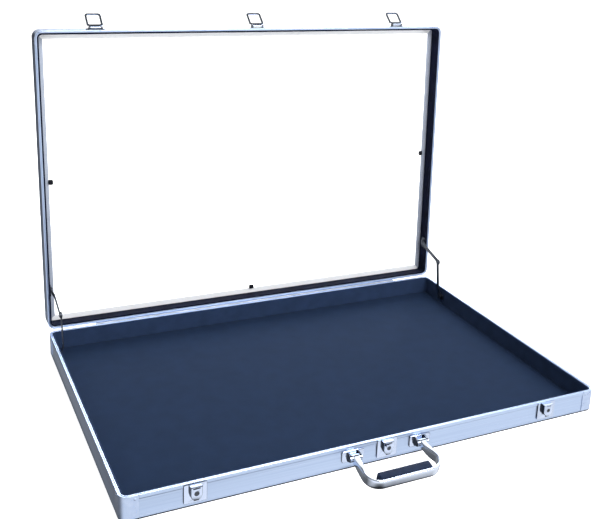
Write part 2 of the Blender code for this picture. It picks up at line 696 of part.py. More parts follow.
def main():
    for obj in list(bpy.data.objects):
        bpy.data.objects.remove(obj)
    mats = {
        "rail": material("brushed_aluminium", "C9CFDA", 0.32, 1.0),
        "corner": material("cast_corner", "B4B8C2", 0.38, 1.0),
        "sheet": material("bottom_sheet", "A9AEB8", 0.45, 1.0),
        "lining": material("wall_lining", "0E1018", 0.95, 0.0),
        "pad": material("floor_pad", "2F3D59", 0.95, 0.0),
        "window": material("clear_window", "F4F8FA", 0.03, 0.0, 1.0),
        "plastic": material("black_plastic", "15161C", 0.45, 0.0),
        "steel": material("bright_steel", "B9BDC4", 0.28, 1.0),
        "chrome": material("chrome_plate", "D6DAE0", 0.10, 1.0),
    }
    pivot = bpy.data.objects.new("lid_pivot", None)
    bpy.context.scene.collection.objects.link(pivot)
    pivot.location = AXIS
    build_shell("base", BASE_H, BASE_FLANGE, GROOVE, mats, None)
    build_base_sheets(mats)
    build_shell("lid", LID_H, LID_FLANGE, TONGUE, mats, pivot)
    build_lid_sheets(mats, pivot)
    build_hinge(mats, pivot)
    build_latches(mats, pivot)
    build_handle(mats)
    build_stays(mats, pivot)
    pivot.rotation_euler.x = -LID_OPEN


main()
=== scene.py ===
# %% [markdown]
# # An aluminium display attache case, standing open
#
# The case is a shallow tray and a framed clear lid, joined by a long hinge. The packed
# CAD model gives every size and every joint. This script keeps that frame and works on
# what the eye sees: drawn aluminium, cast corners, plated latches, cloth and acrylic.

# %% Load the frame
import json
import math

import bmesh
import bpy
import numpy as np
from mathutils import Matrix, Vector


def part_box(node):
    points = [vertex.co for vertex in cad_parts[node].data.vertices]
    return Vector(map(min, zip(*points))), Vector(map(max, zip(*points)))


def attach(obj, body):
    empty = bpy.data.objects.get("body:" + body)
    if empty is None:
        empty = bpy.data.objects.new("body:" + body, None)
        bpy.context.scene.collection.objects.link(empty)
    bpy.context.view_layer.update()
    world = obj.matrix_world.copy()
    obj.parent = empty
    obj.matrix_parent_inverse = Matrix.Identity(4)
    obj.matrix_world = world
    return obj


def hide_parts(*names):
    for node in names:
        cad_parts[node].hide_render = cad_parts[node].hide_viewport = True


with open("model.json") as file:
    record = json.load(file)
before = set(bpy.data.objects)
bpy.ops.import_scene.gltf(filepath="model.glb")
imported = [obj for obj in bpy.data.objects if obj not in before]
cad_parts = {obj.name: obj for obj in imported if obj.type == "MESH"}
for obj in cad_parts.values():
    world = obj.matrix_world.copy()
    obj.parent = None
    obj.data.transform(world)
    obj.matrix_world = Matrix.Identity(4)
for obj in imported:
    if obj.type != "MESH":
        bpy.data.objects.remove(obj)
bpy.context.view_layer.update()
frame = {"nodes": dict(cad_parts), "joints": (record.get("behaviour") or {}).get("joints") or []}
nodes = frame["nodes"]
MM = 0.001

# %% [markdown]
# ## Sizes that everything else uses
#
# The outer faces of the tray, its rim height and the hinge axis come from the frame. The
# lid is easiest to think of shut, as a second tray upside down on the first, so its
# pieces are worked out shut and then swung about the hinge to where the frame holds it.

# %% Read the case's sizes and the hinge
HALF_W = -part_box("base_rail_left")[0].x
HALF_D = -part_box("base_rail_front")[0].y
BASE_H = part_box("base_rail_front")[1].z
joints = {joint["name"]: joint for joint in frame["joints"]}
HINGE = np.array(joints["lid_hinge"]["pos_m"])
OPEN = math.radians(max(joints["lid_hinge"]["range_deg"]))
LATCH_SIDES = ("left", "centre", "right")
print(f"case {2 * HALF_W / MM:.0f} x {2 * HALF_D / MM:.0f} mm,",
      f"lid open {math.degrees(OPEN):.0f} degrees")


# %% Turn points about the X axis
def turned(points, pivot, angle):
    """Points turned about a line along X through pivot: y' = y cos - z sin, z' = y sin + z cos."""
    y, z = (points - pivot)[..., 1], (points - pivot)[..., 2]
    out = np.array(points, float)
    out[..., 1] = pivot[1] + y * math.cos(angle) - z * math.sin(angle)
    out[..., 2] = pivot[2] + y * math.sin(angle) + z * math.cos(angle)
    return out


# %% [markdown]
# ## The camera
#
# A long, fairly low view over the front left corner, a little tilted. The lens and the
# small shift give the framing; depth of field is left off.

# %% Place the camera
CAMERA_AT = Vector((-0.6854, -1.4091, 0.8398))
HEADING, DOWN, ROLL = (math.radians(v) for v in (26.59, 15.95, 2.70))
aim = Vector((math.sin(HEADING) * math.cos(DOWN), math.cos(HEADING) * math.cos(DOWN),
              -math.sin(DOWN)))
level = aim.cross(Vector((0, 0, 1))).normalized()
right = math.cos(ROLL) * level + math.sin(ROLL) * level.cross(aim)
camera = bpy.data.objects.new("camera", bpy.data.cameras.new("camera"))
bpy.context.scene.collection.objects.link(camera)
camera.data.lens = 54.31
camera.data.shift_x, camera.data.shift_y = -0.0419, -0.1305
camera.data.clip_start, camera.data.clip_end = 0.05, 60
camera.matrix_world = Matrix.Translation(CAMERA_AT) @ Matrix(
    (right, right.cross(aim), -aim)).transposed().to_4x4()
bpy.context.scene.camera = camera
print("camera stands", round(CAMERA_AT.length, 2), "m from the case")

# %% [markdown]
# ## A white studio
#
# Plated metal shows nothing but its surroundings, so the sky is what gives it form. It is
# made of level bands, from dark ground to a bright upper sky with a dark zenith, and it is
# darker behind the case than in front of it. The eye never meets it: a white paper floor
# and a white paper dome stand before it, and mirrors alone look past them.


# %% Colour and node helpers
def linear(code):
    """Linear RGBA of an sRGB hex colour: each channel is ((c + 0.055) / 1.055) to the power 2.4."""
    c = np.array([int(code[i:i + 2], 16) for i in (0, 2, 4)]) / 255
    return (*np.where(c <= 0.04045, c / 12.92, ((c + 0.055) / 1.055) ** 2.4), 1.0)


def add(tree, kind, inputs=None, **settings):
    """Adds one node, sets its properties, and feeds its inputs with values or sockets."""
    node = tree.nodes.new(kind)
    for name, value in settings.items():
        setattr(node, name, value)
    for socket, value in (inputs or {}).items():
        if isinstance(value, bpy.types.NodeSocket):
            tree.links.new(value, node.inputs[socket])
        else:
            node.inputs[socket].default_value = value
    return node


# %% Banded sky
bpy.context.scene.view_settings.view_transform = "Standard"
world = bpy.data.worlds.new("studio")
bpy.context.scene.world = world
world.use_nodes = True
sky = world.node_tree
direction = add(sky, "ShaderNodeTexCoord").outputs["Generated"]
height = add(sky, "ShaderNodeSeparateXYZ", {0: direction}).outputs["Z"]
height = add(sky, "ShaderNodeMapRange", {"Value": height, "From Min": -1.0}).outputs[0]


def bands(stops):
    """Sky brightness from straight down (0) to straight up (1), as (place, brightness) stops."""
    ramp = add(sky, "ShaderNodeValToRGB", {0: height})
    while len(ramp.color_ramp.elements) < len(stops):
        ramp.color_ramp.elements.new(0.5)
    for stop, (place, value) in zip(ramp.color_ramp.elements, stops):
        stop.position = place
        stop.color = (value, value, value, 1.0)
    return ramp.outputs["Color"]


def side_light(towards, start, end, low, high):
    """Share that rises from low to high as a direction turns to face another, from start to end."""
    facing = add(sky, "ShaderNodeVectorMath", {0: direction, 1: towards}, operation="DOT_PRODUCT")
    share = add(sky, "ShaderNodeMapRange", {"Value": facing.outputs["Value"], "From Min": start,
                                            "From Max": end, "To Min": low, "To Max": high})
    return share.outputs[0]


TOP = ((0.500, 0.015), (0.580, 0.015), (0.620, 0.90), (0.890, 0.95), (0.930, 0.06), (1.0, 0.06))
front = bands(((0.0, 0.02), (0.08, 0.02), (0.12, 0.50), (0.21, 0.72), (0.27, 0.58),
               (0.40, 0.66), (0.49, 0.72)) + TOP)
back = bands(((0.0, 0.02), (0.07, 0.02), (0.12, 0.06), (0.21, 0.09), (0.27, 0.19),
              (0.34, 0.07), (0.49, 0.05)) + TOP)
faces_front = side_light((0.35, -0.94, 0.0), -0.45, 0.25, 0.0, 1.0)
both = add(sky, "ShaderNodeMix", {0: faces_front, 6: back, 7: front}, data_type="RGBA").outputs[2]
above = side_light((1.0, -0.25, 0.0), -0.8, 0.35, 0.22, 1.0)
is_above = add(sky, "ShaderNodeMath", {0: height, 1: 0.5}, operation="GREATER_THAN").outputs[0]
share = add(sky, "ShaderNodeMix", {"Factor": is_above, "A": 1.0, "B": above}).outputs[0]
glow = add(sky, "ShaderNodeVectorMath", {0: both, "Scale": share}, operation="SCALE").outputs[0]
SKY_STRENGTH = 1.8
sky.links.new(glow, sky.nodes["Background"].inputs["Color"])
sky.nodes["Background"].inputs["Strength"].default_value = SKY_STRENGTH
print("stops shared by both sides of the sky:", len(TOP))


# %% White paper
def white_paper(name, glow):
    """Matt white paper that gives off a little light of its own, so that it reads as white."""
    paper = bpy.data.materials.new(name)
    paper.use_nodes = True
    shader = paper.node_tree.nodes["Principled BSDF"]
    shader.inputs["Base Color"].default_value = linear("FAFAFA")
    shader.inputs["Roughness"].default_value = 0.9
    shader.inputs["Specular IOR Level"].default_value = 0.0
    shader.inputs["Emission Color"].default_value = linear("FFFFFF")
    shader.inputs["Emission Strength"].default_value = glow
    return paper


def stage_piece(name, points, faces, paper):
    """An object of the studio that mirrors don't show: the sky's bands show in them instead."""
    mesh = bpy.data.meshes.new(name)
    mesh.from_pydata(points.tolist(), [], faces)
    mesh.materials.append(paper)
    obj = bpy.data.objects.new(name, mesh)
    bpy.context.scene.collection.objects.link(obj)
    obj.visible_glossy = False
    return obj


FLOOR_HALF, FLOOR_Z, DOME_R, DOME_ROWS, DOME_COLS = 20.0, -0.4 * MM, 15.0, 12, 33
floor_corners = FLOOR_HALF * np.array([(-1, -1, 0), (1, -1, 0), (1, 1, 0), (-1, 1, 0)])
stage_piece("floor", floor_corners + [0, 0, FLOOR_Z], [[0, 1, 2, 3]],
            white_paper("white_floor_paper", 0.75))
rise = np.linspace(-0.05, 0.5 * math.pi, DOME_ROWS)
round_about = np.linspace(0, 2 * math.pi, DOME_COLS)
shell = DOME_R * np.dstack([np.outer(np.cos(rise), np.cos(round_about)),
                            np.outer(np.cos(rise), np.sin(round_about)),
                            np.outer(np.sin(rise), np.ones(DOME_COLS))])
index = np.arange(DOME_ROWS * DOME_COLS).reshape(DOME_ROWS, DOME_COLS)
quads = np.stack([index[:-1, :-1], index[:-1, 1:], index[1:, 1:], index[1:, :-1]], -1)
quads = quads.reshape(-1, 4).tolist()
backdrop = stage_piece("backdrop", shell.reshape(-1, 3), quads, white_paper("white_backdrop", 1.0))
backdrop.visible_diffuse = backdrop.visible_shadow = False
print("floor and backdrop of white paper")


# %% Softboxes
def softbox(name, at, target, size, power):
    """A square area light at a place, turned to face a target."""
    lamp = bpy.data.objects.new(name, bpy.data.lights.new(name, "AREA"))
    bpy.context.scene.collection.objects.link(lamp)
    lamp.data.size = size
    lamp.data.energy = power
    lamp.visible_camera = False
    lamp.location = at
    lamp.rotation_euler = (Vector(target) - Vector(at)).to_track_quat("-Z", "Y").to_euler()


CASE_MIDDLE, BOX_SIDE = (0, 0, 0.1), 1.8
softbox("key", (0.9, -2.6, 2.6), CASE_MIDDLE, BOX_SIDE, 100)
softbox("back", (1.3, 2.8, 1.7), CASE_MIDDLE, BOX_SIDE, 80)
print("two softboxes")

# %% [markdown]
# ## Drawn and anodised aluminium
#
# The side rails are extruded, so their faces carry faint lines from the die along their
# length, and clear anodising makes them satin. The lines are stretched noise: fine along
# the rail's two short directions and very long the third way. Real die lines are about
# 0.2 mm apart, too fine to show here, so they are drawn 1 mm apart.


# %% Metals
def new_finish(name, colour, metallic, roughness):
    """A material whose Principled shader holds one finish's constants; returns it with its tree."""
    mat = bpy.data.materials.new(name)
    mat.use_nodes = True
    shader = mat.node_tree.nodes["Principled BSDF"]
    shader.inputs["Base Color"].default_value = linear(colour)
    shader.inputs["Metallic"].default_value = metallic
    shader.inputs["Roughness"].default_value = roughness
    mat.diffuse_color = linear(colour)
    return mat, mat.node_tree, shader


def noise_in_mm(tree, size_mm, detail=3.0, turn=(0, 0, 0)):
    """Noise whose grain is size_mm wide along each of the object's three directions."""
    place = add(tree, "ShaderNodeTexCoord")
    scale = [1 / (value * MM) for value in size_mm]
    mapping = add(tree, "ShaderNodeMapping", {"Vector": place.outputs["Object"], "Rotation": turn,
                                              "Scale": scale})
    return add(tree, "ShaderNodeTexNoise", {"Vector": mapping.outputs[0], "Scale": 1.0,
                                            "Detail": detail}).outputs["Fac"]


def spread(tree, value, low, high, shader, socket):
    """Feeds a shader socket with noise spread over a range, low at 0.3 and high at 0.7."""
    ramp = add(tree, "ShaderNodeMapRange", {"Value": value, "From Min": 0.3, "From Max": 0.7,
                                            "To Min": low, "To Max": high})
    tree.links.new(ramp.outputs[0], shader.inputs[socket])


def tint(tree, value, dark, light, shader):
    """Colours a surface between two hex shades by a noise value."""
    ramp = add(tree, "ShaderNodeValToRGB", {0: value})
    for stop, place, code in zip(ramp.color_ramp.elements, (0.3, 0.7), (dark, light)):
        stop.position = place
        stop.color = linear(code)
    tree.links.new(ramp.outputs[0], shader.inputs["Base Color"])


def relief(tree, value, depth_mm, shader, strength=1.0):
    """Raises the surface by up to depth_mm where the value is high."""
    bump = add(tree, "ShaderNodeBump", {"Height": value, "Distance": depth_mm * MM,
                                        "Strength": strength})
    tree.links.new(bump.outputs[0], shader.inputs["Normal"])


def drawn_aluminium(name, line_mm, turn=(0, 0, 0)):
    """Clear anodised extrusion: satin, pale blue-grey, with die lines along its length."""
    mat, tree, shader = new_finish(name, "C9D3E6", 1.0, 0.34)
    lines = noise_in_mm(tree, line_mm, 4.0, turn)
    tint(tree, lines, "B2C5E4", "C1D2EE", shader)
    spread(tree, noise_in_mm(tree, [v * 2.2 for v in line_mm], 2.0, turn), 0.26, 0.42, shader,
           "Roughness")
    relief(tree, lines, 0.02, shader, 0.3)
    return mat


LINE, LONG = 1.0, 260.0
rail_along_x = drawn_aluminium("anodised_rail_along_x", (LONG, LINE, LINE))
rail_along_y = drawn_aluminium("anodised_rail_along_y", (LINE, LONG, LINE))
tilt = (OPEN - math.pi / 2, 0, 0)
rail_upright = drawn_aluminium("anodised_rail_upright", (LINE, LINE, LONG), tilt)


# %% Cast corners, plated fittings and plain steel
# The studio only gives plated fittings a few dark reflections, so the side walls and the
# rounded edges of the keepers and brackets are coloured a darker nickel: painted shade and dark
# reflection.
def cast_aluminium():
    """Corner castings: tumbled smooth, so a shallow orange peel and soft cloudy wear."""
    mat, tree, shader = new_finish("tumbled_cast_corner", "C8CFE0", 1.0, 0.30)
    clouds = noise_in_mm(tree, (9, 9, 9), 3.0)
    tint(tree, clouds, "B1C2E0", "C4D3EE", shader)
    spread(tree, clouds, 0.24, 0.40, shader, "Roughness")
    relief(tree, noise_in_mm(tree, (2.4, 2.4, 2.4), 2.0), 0.03, shader, 0.3)
    return mat


def nickel_plate(name, colour, roughness, wave_mm):
    """Bright nickel plate over stamped or cast metal: mirror-like, gently wavy."""
    mat, tree, shader = new_finish(name, colour, 1.0, roughness)
    smudge = noise_in_mm(tree, (12, 12, 12), 4.0)
    spread(tree, smudge, roughness * 0.7, roughness * 1.6, shader, "Roughness")
    relief(tree, noise_in_mm(tree, (wave_mm,) * 3, 1.0), 0.10, shader, 0.45)
    return mat


def zinc_steel(name, dark, light):
    """Rolled steel, zinc plated or oiled dark: satin, with a fine grain along X."""
    mat, tree, shader = new_finish(name, light, 1.0, 0.33)
    grain = noise_in_mm(tree, (14, 0.9, 0.9), 4.0)
    tint(tree, grain, dark, light, shader)
    spread(tree, grain, 0.25, 0.42, shader, "Roughness")
    return mat


def mill_sheet():
    """Bottom panel: mill-finish sheet with long rolling lines, a little grey."""
    mat, tree, shader = new_finish("mill_finish_sheet", "9EA4AE", 1.0, 0.42)
    lines = noise_in_mm(tree, (300, 1.5, 1.5), 4.0)
    tint(tree, lines, "8A909B", "B2B8C2", shader)
    spread(tree, lines, 0.36, 0.50, shader, "Roughness")
    return mat


def silver_lacquer(name, dark, light):
    """Bezel strip: aluminium under silver lacquer, duller and whiter than bare metal."""
    mat, tree, shader = new_finish(name, light, 0.10, 0.45)
    flakes = noise_in_mm(tree, (1.2, 1.2, 1.2), 2.0)
    tint(tree, flakes, dark, light, shader)
    spread(tree, flakes, 0.38, 0.52, shader, "Roughness")
    return mat


bezel_white = silver_lacquer("silver_lacquer_level", "F2F5FA", "FCFDFF")
# The upright bezel strips take a grey copy of the lacquer: painted shade and reflection.
bezel_painted_shade = silver_lacquer("silver_lacquer_painted_shade", "9AA3B5", "B4BCCB")
corner_metal = cast_aluminium()
# Painted shade and dark reflection: a dark nickel for the side walls and rounded edges of keepers
# and brackets.
painted_dark_edge = nickel_plate("nickel_painted_dark_reflection", "1A202C", 0.30, 5.0)
# Painted contact shadow: a dark strip along the foot of the base, where it meets the floor.
painted_contact_shadow = zinc_steel("painted_contact_shadow", "14171E", "262B36")
latch_plate = nickel_plate("nickel_plated_latch", "C3CFE6", 0.10, 5.0)
handle_plate = nickel_plate("nickel_plated_handle", "D6E0F2", 0.05, 9.0)
steel = zinc_steel("zinc_plated_steel", "989EAA", "CDD2DA")
dark_steel = zinc_steel("oiled_spring_steel", "454952", "646973")
bottom_sheet = mill_sheet()
print("metals made")

# %% [markdown]
# ## Cloth, plastic and acrylic
#
# The floor board and the tray's walls are wrapped in a dark blue cloth, and the lid's walls
# in a nearly black one.
# A cloth is dull and catches light at grazing angles, which is what sheen does, and its
# weave is two sets of threads crossing. Real threads here are 0.5 mm apart; they are
# drawn 1.4 mm apart so that they just show. The window is clear acrylic sheet, drawn as a
# thin coat that hardly bends light, so that what lies behind it stays put. The clips are
# moulded in black and the grip in navy plastic, both with a fine spark-eroded grain.


# %% Soft and clear finishes
def woven_cloth(name, dark, light, thread_mm, sheen):
    """Plain weave: two sine waves at right angles multiply into a raised check of threads."""
    mat, tree, shader = new_finish(name, dark, 0.0, 0.92)
    shader.inputs["Specular IOR Level"].default_value = 0.06
    shader.inputs["Sheen Weight"].default_value = sheen
    shader.inputs["Sheen Roughness"].default_value = 0.5
    place = add(tree, "ShaderNodeTexCoord").outputs["Object"]
    waves = [add(tree, "ShaderNodeTexWave", {"Vector": place, "Scale": 0.314 / (thread_mm * MM),
                                             "Distortion": 0.6, "Detail": 1.0},
                 bands_direction=axis).outputs["Fac"] for axis in ("X", "Y", "Z")]
    flat = add(tree, "ShaderNodeMath", {0: waves[0], 1: waves[1]}, operation="MULTIPLY").outputs[0]
    weave = add(tree, "ShaderNodeMath", {0: flat, 1: waves[2]}, operation="ADD").outputs[0]
    nap = noise_in_mm(tree, (26, 26, 26), 5.0)
    tint(tree, nap, dark, light, shader)
    relief(tree, weave, 0.10, shader, 0.5)
    return mat


def moulded_plastic(name, dark, light):
    """ABS: satin, with a fine moulded grain drawn 0.7 mm wide."""
    mat, tree, shader = new_finish(name, dark, 0.0, 0.42)
    shader.inputs["IOR"].default_value = 1.53
    shader.inputs["Specular IOR Level"].default_value = 0.12
    grain = noise_in_mm(tree, (0.7, 0.7, 0.7), 2.0)
    tint(tree, noise_in_mm(tree, (8, 8, 8), 3.0), dark, light, shader)
    spread(tree, grain, 0.36, 0.52, shader, "Roughness")
    relief(tree, grain, 0.04, shader, 0.5)
    return mat


def clear_acrylic():
    """Cast acrylic sheet: nearly invisible face on, with a faint haze of wiping marks."""
    mat, tree, shader = new_finish("clear_acrylic", "FBFDFF", 0.0, 0.02)
    shader.inputs["IOR"].default_value = 1.02
    shader.inputs["Transmission Weight"].default_value = 1.0
    shader.inputs["Coat Weight"].default_value = 0.3
    shader.inputs["Coat IOR"].default_value = 1.49
    shader.inputs["Alpha"].default_value = 0.2
    spread(tree, noise_in_mm(tree, (40, 40, 4), 5.0), 0.01, 0.06, shader, "Roughness")
    return mat


THREAD_MM, SHEEN = 1.4, 0.02
floor_cloth = woven_cloth("floor_cloth", "182841", "1A2B46", THREAD_MM, SHEEN)
wall_cloth = woven_cloth("wall_cloth", "263550", "2A3A58", THREAD_MM, SHEEN)
lid_cloth = woven_cloth("lid_cloth", "080C1C", "0E142B", THREAD_MM, SHEEN)
black_plastic = moulded_plastic("moulded_black_abs", "0B0D16", "14161F")
navy_plastic = moulded_plastic("moulded_navy_abs", "13213A", "192945")
acrylic = clear_acrylic()
print("soft and clear finishes made")

# %% [markdown]
# ## Surfaces from grids
#
# Most new pieces are one profile carried along a path. The points are a grid: one row for
# each place on the path, one column for each point of the profile. The faces are the
# squares between neighbours. A profile always closes on itself, and a path may.


# %% Mesh and piece helpers
def squares(rows, cols, wrap_rows):
    """Corner numbers of every square of a grid that closes on itself across, and maybe along."""
    index = np.arange(rows * cols).reshape(rows, cols)
    if wrap_rows:
        index = np.vstack([index, index[:1]])
    index = np.hstack([index, index[:, :1]])
    return np.stack([index[:-1, :-1], index[1:, :-1], index[1:, 1:], index[:-1, 1:]],
                    axis=-1).reshape(-1, 4).tolist()


def grid_shape(grid, wrap_rows=False, caps=False):
    """Points and faces of one grid; caps closes the two ends of a sweep with flat faces."""
    rows, cols = grid.shape[:2]
    faces = squares(rows, cols, wrap_rows)
    if caps:
        faces += [list(range(cols)), list(range(rows * cols - cols, rows * cols))[::-1]]
    return grid.reshape(-1, 3), faces


def piece(name, shapes, mat, body, stands_for=(), sharp=40):
    """One object from several closed shapes, smooth but for edges over the sharp angle."""
    points, faces, start = [], [], 0
    for shape_points, shape_faces in shapes:
        points.append(shape_points)
        faces += [[start + i for i in face] for face in shape_faces]
        start += len(shape_points)
    mesh = bpy.data.meshes.new(name)
    mesh.from_pydata(np.vstack(points).tolist(), [], faces)
    tidy = bmesh.new()
    tidy.from_mesh(mesh)
    bmesh.ops.remove_doubles(tidy, verts=tidy.verts, dist=1e-6)
    bmesh.ops.recalc_face_normals(tidy, faces=tidy.faces)
    tidy.to_mesh(mesh)
    tidy.free()
    mesh.shade_smooth()
    mesh.set_sharp_from_angle(angle=math.radians(sharp))
    mesh.materials.append(mat)
    obj = bpy.data.objects.new(name, mesh)
    bpy.context.scene.collection.objects.link(obj)
    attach(obj, body)
    if stands_for:
        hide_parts(*stands_for)
    return obj


# %% Two finishes on one piece
def second_finish(mesh, mat, choose):
    """Faces picked by a test of their middles and normals, as arrays, take a second finish."""
    middles, normals = (np.zeros(3 * len(mesh.polygons)) for _ in range(2))
    mesh.polygons.foreach_get("center", middles)
    mesh.polygons.foreach_get("normal", normals)
    chosen = choose(middles.reshape(-1, 3), normals.reshape(-1, 3))
    mesh.materials.append(mat)
    mesh.polygons.foreach_set("material_index", chosen.astype(np.int32))
    return int(chosen.sum())


def contact_shadow_strip(middles, normals):
    """The lowest strip of the outer faces, which is coloured dark as a painted contact shadow."""
    outside = (np.abs(middles[:, 0]) > HALF_W - MM) | (np.abs(middles[:, 1]) > HALF_D - MM)
    return outside & (middles[:, 2] < FOOT_STRIP) & (np.abs(normals[:, 2]) < 0.6)


# %% [markdown]
# ## Rails and corners
#
# A rail's profile is a rim, a wall and a flange, with a raised lip under the rim. Below the
# lip the band lies 0.9 mm back, and near the foot it slopes out again. A corner casting has
# the same section with a plain face. Both trays use it: the base has a groove in its rim
# and the lid has a tongue. An extrusion's edges are never sharp, so each corner of the
# profile is rounded before it is swept. The lowest strip of the base is dark: a painted
# contact shadow.


# %% Round a profile's corners
def rounded_profile(points, radius, steps=3):
    """Corner p becomes (1-t)^2 a + 2t(1-t) p + t^2 b, with a and b a radius away from it."""
    p = np.array(points, float)
    before, after = np.roll(p, 1, 0) - p, np.roll(p, -1, 0) - p
    reach = [np.minimum(radius, 0.45 * np.linalg.norm(v, axis=1))[:, None] for v in (before, after)]
    a = p + before / np.linalg.norm(before, axis=1)[:, None] * reach[0]
    b = p + after / np.linalg.norm(after, axis=1)[:, None] * reach[1]
    t = np.linspace(0, 1, steps + 1)[None, :, None]
    curve = (1 - t) ** 2 * a[:, None] + 2 * t * (1 - t) * p[:, None] + t ** 2 * b[:, None]
    return curve.reshape(-1, 2)


RIM, WALL, RIM_T, LIP, STEP_IN, SLOPE = (v * MM for v in (4.6, 2.5, 2.8, 6.3, 0.9, 4.0))
CORNER_R, CORNER_LEG, PART_GAP = 14 * MM, 28 * MM, 0.3 * MM
FOOT_CHAMFER, FOOT_STRIP, EDGE_R = 0.3 * MM, 2.2 * MM, 0.4 * MM


def tray_profile(depth, flange, thick, inset, mark, plain):
    """Outline of a tray wall as (in from the outer face, down from the rim)."""
    under = depth - inset
    u0, u1, deep = mark
    points = [(0, 0), (u0, 0), (u0, deep), (u1, deep), (u1, 0), (RIM, 0), (RIM, RIM_T),
              (WALL, RIM_T), (WALL, under - thick), (flange, under - thick), (flange, under)]
    points += [(WALL, under), (WALL, depth)] if inset else []
    points += [(FOOT_CHAMFER, depth), (0, depth - FOOT_CHAMFER), (0, depth - FOOT_STRIP)]
    if not plain:
        points += [(STEP_IN, depth - SLOPE - STEP_IN), (STEP_IN, LIP + STEP_IN), (0, LIP)]
    return rounded_profile(points, EDGE_R)


# Of each tray: depth, reach and thickness of the flange, how far it lies above the foot,
# and the groove or tongue in the rim as (from, to, depth).
TRAYS = {
    "base": (BASE_H, 9.0 * MM, 1.2 * MM, 1.5 * MM, (1.6 * MM, 3.0 * MM, 1.2 * MM)),
    "lid": (32.5 * MM, 12.0 * MM, 1.5 * MM, 0.0, (1.9 * MM, 2.7 * MM, -1.0 * MM)),
}


def swept(tray, profile, at, out):
    """Grid of a profile at each path point: the point, less u times its outward direction."""
    u, t = profile[:, 0], profile[:, 1]
    xy = at[:, None, :] - out[:, None, :] * u[None, :, None]
    z = BASE_H - t if tray == "base" else BASE_H + PART_GAP + t
    grid = np.dstack([xy, np.broadcast_to(z, xy.shape[:2])])
    return grid if tray == "base" else turned(grid, HINGE, -OPEN)


# %% Straight rails
SIDES = {"front": (0, -1), "back": (0, 1), "left": (-1, 0), "right": (1, 0)}


def rail_path(out):
    """Two ends of a rail on its outer face, and the outward direction at both."""
    out = np.array(out, float)
    along = np.abs(out[::-1])
    half = np.array([HALF_W, HALF_D])
    reach = (half @ along) - CORNER_LEG - PART_GAP
    return out * half + np.outer([-1, 1], along) * reach, np.tile(out, (2, 1))


for tray, (depth, flange, thick, inset, mark) in TRAYS.items():
    profile = tray_profile(depth, flange, thick, inset, mark, False)
    for side, out in SIDES.items():
        metal = rail_along_x if out[1] else rail_along_y if tray == "base" else rail_upright
        grid = swept(tray, profile, *rail_path(out))
        rail = piece(f"{tray}_{side}_extrusion", [grid_shape(grid, caps=True)], metal, tray,
                     [f"{tray}_rail_{side}"])
        if tray == "base":
            # The lowest strip of each base rail takes the painted contact shadow.
            print(side, second_finish(rail.data, painted_contact_shadow, contact_shadow_strip), "foot faces")
print("eight rails of", len(profile), "profile points")


# %% Corner castings with their rivets
def dome(centre, normal, radius, rise, sink=0.4 * MM, steps=(7, 20)):
    """A low rivet head: rings at r = R sin(a), height = rise cos(a), closed below the face."""
    a = np.linspace(0, math.pi / 2, steps[0])
    ring = np.append(radius * np.sin(a), [radius, 0.0])
    lift = np.append(rise * np.cos(a), [-sink, -sink])
    turn = np.linspace(0, 2 * math.pi, steps[1], endpoint=False)
    normal = np.array(normal, float) / np.linalg.norm(normal)
    side = np.cross(normal, [1, 0, 0] if abs(normal[0]) < 0.9 else [0, 1, 0])
    side /= np.linalg.norm(side)
    other = np.cross(normal, side)
    circle = np.cos(turn)[:, None] * side + np.sin(turn)[:, None] * other
    return np.array(centre) + ring[:, None, None] * circle + lift[:, None, None] * normal


def corner_path(sx, sy, steps=28):
    """A leg, a quarter circle and a leg round the corner that has signs sx and sy."""
    q = np.linspace(0, math.pi / 2, steps)
    out = np.stack([sx * np.cos(q), sy * np.sin(q)], 1)
    centre = np.array([sx * (HALF_W - CORNER_R), sy * (HALF_D - CORNER_R)])
    at = centre + out * CORNER_R
    leg = CORNER_LEG - CORNER_R
    at = np.vstack([at[0] - [0, sy * leg], at, at[-1] - [sx * leg, 0]])
    return at, np.vstack([out[:1], out, out[-1:]])


RIVET_FROM_SIDE, RIVET_DOWN = 22 * MM, 6 * MM
for tray, (depth, flange, thick, inset, mark) in TRAYS.items():
    profile = tray_profile(depth, flange, thick, inset, mark, True)
    for name, sx, sy in (("front_left", -1, -1), ("front_right", 1, -1),
                         ("back_left", -1, 1), ("back_right", 1, 1)):
        shapes = [grid_shape(swept(tray, profile, *corner_path(sx, sy)), caps=True)]
        z = BASE_H - RIVET_DOWN if tray == "base" else BASE_H + PART_GAP + RIVET_DOWN
        for spot, normal in (((sx * HALF_W, sy * (HALF_D - RIVET_FROM_SIDE), z), (sx, 0, 0)),
                             ((sx * (HALF_W - RIVET_FROM_SIDE), sy * HALF_D, z), (0, sy, 0))):
            head = dome(spot, normal, 2.0 * MM, 0.8 * MM)
            shapes.append(grid_shape(head if tray == "base" else turned(head, HINGE, -OPEN)))
        corner = piece(f"{tray}_{name}_casting", shapes, corner_metal, tray,
                       [f"{tray}_corner_{name}"])
        if tray == "base":
            # The lowest strip of each base corner takes the painted contact shadow.
            second_finish(corner.data, painted_contact_shadow, contact_shadow_strip)
print("eight corner castings")

# %% [markdown]
# ## Cloth linings
#
# A strip of cloth-faced board lines each wall. It is a closed ring with a soft section:
# a superellipse, whose power sets how square it is. The floor is a thin board wrapped in
# cloth over a little wadding, so its edge is rolled and its top is very slightly crowned.


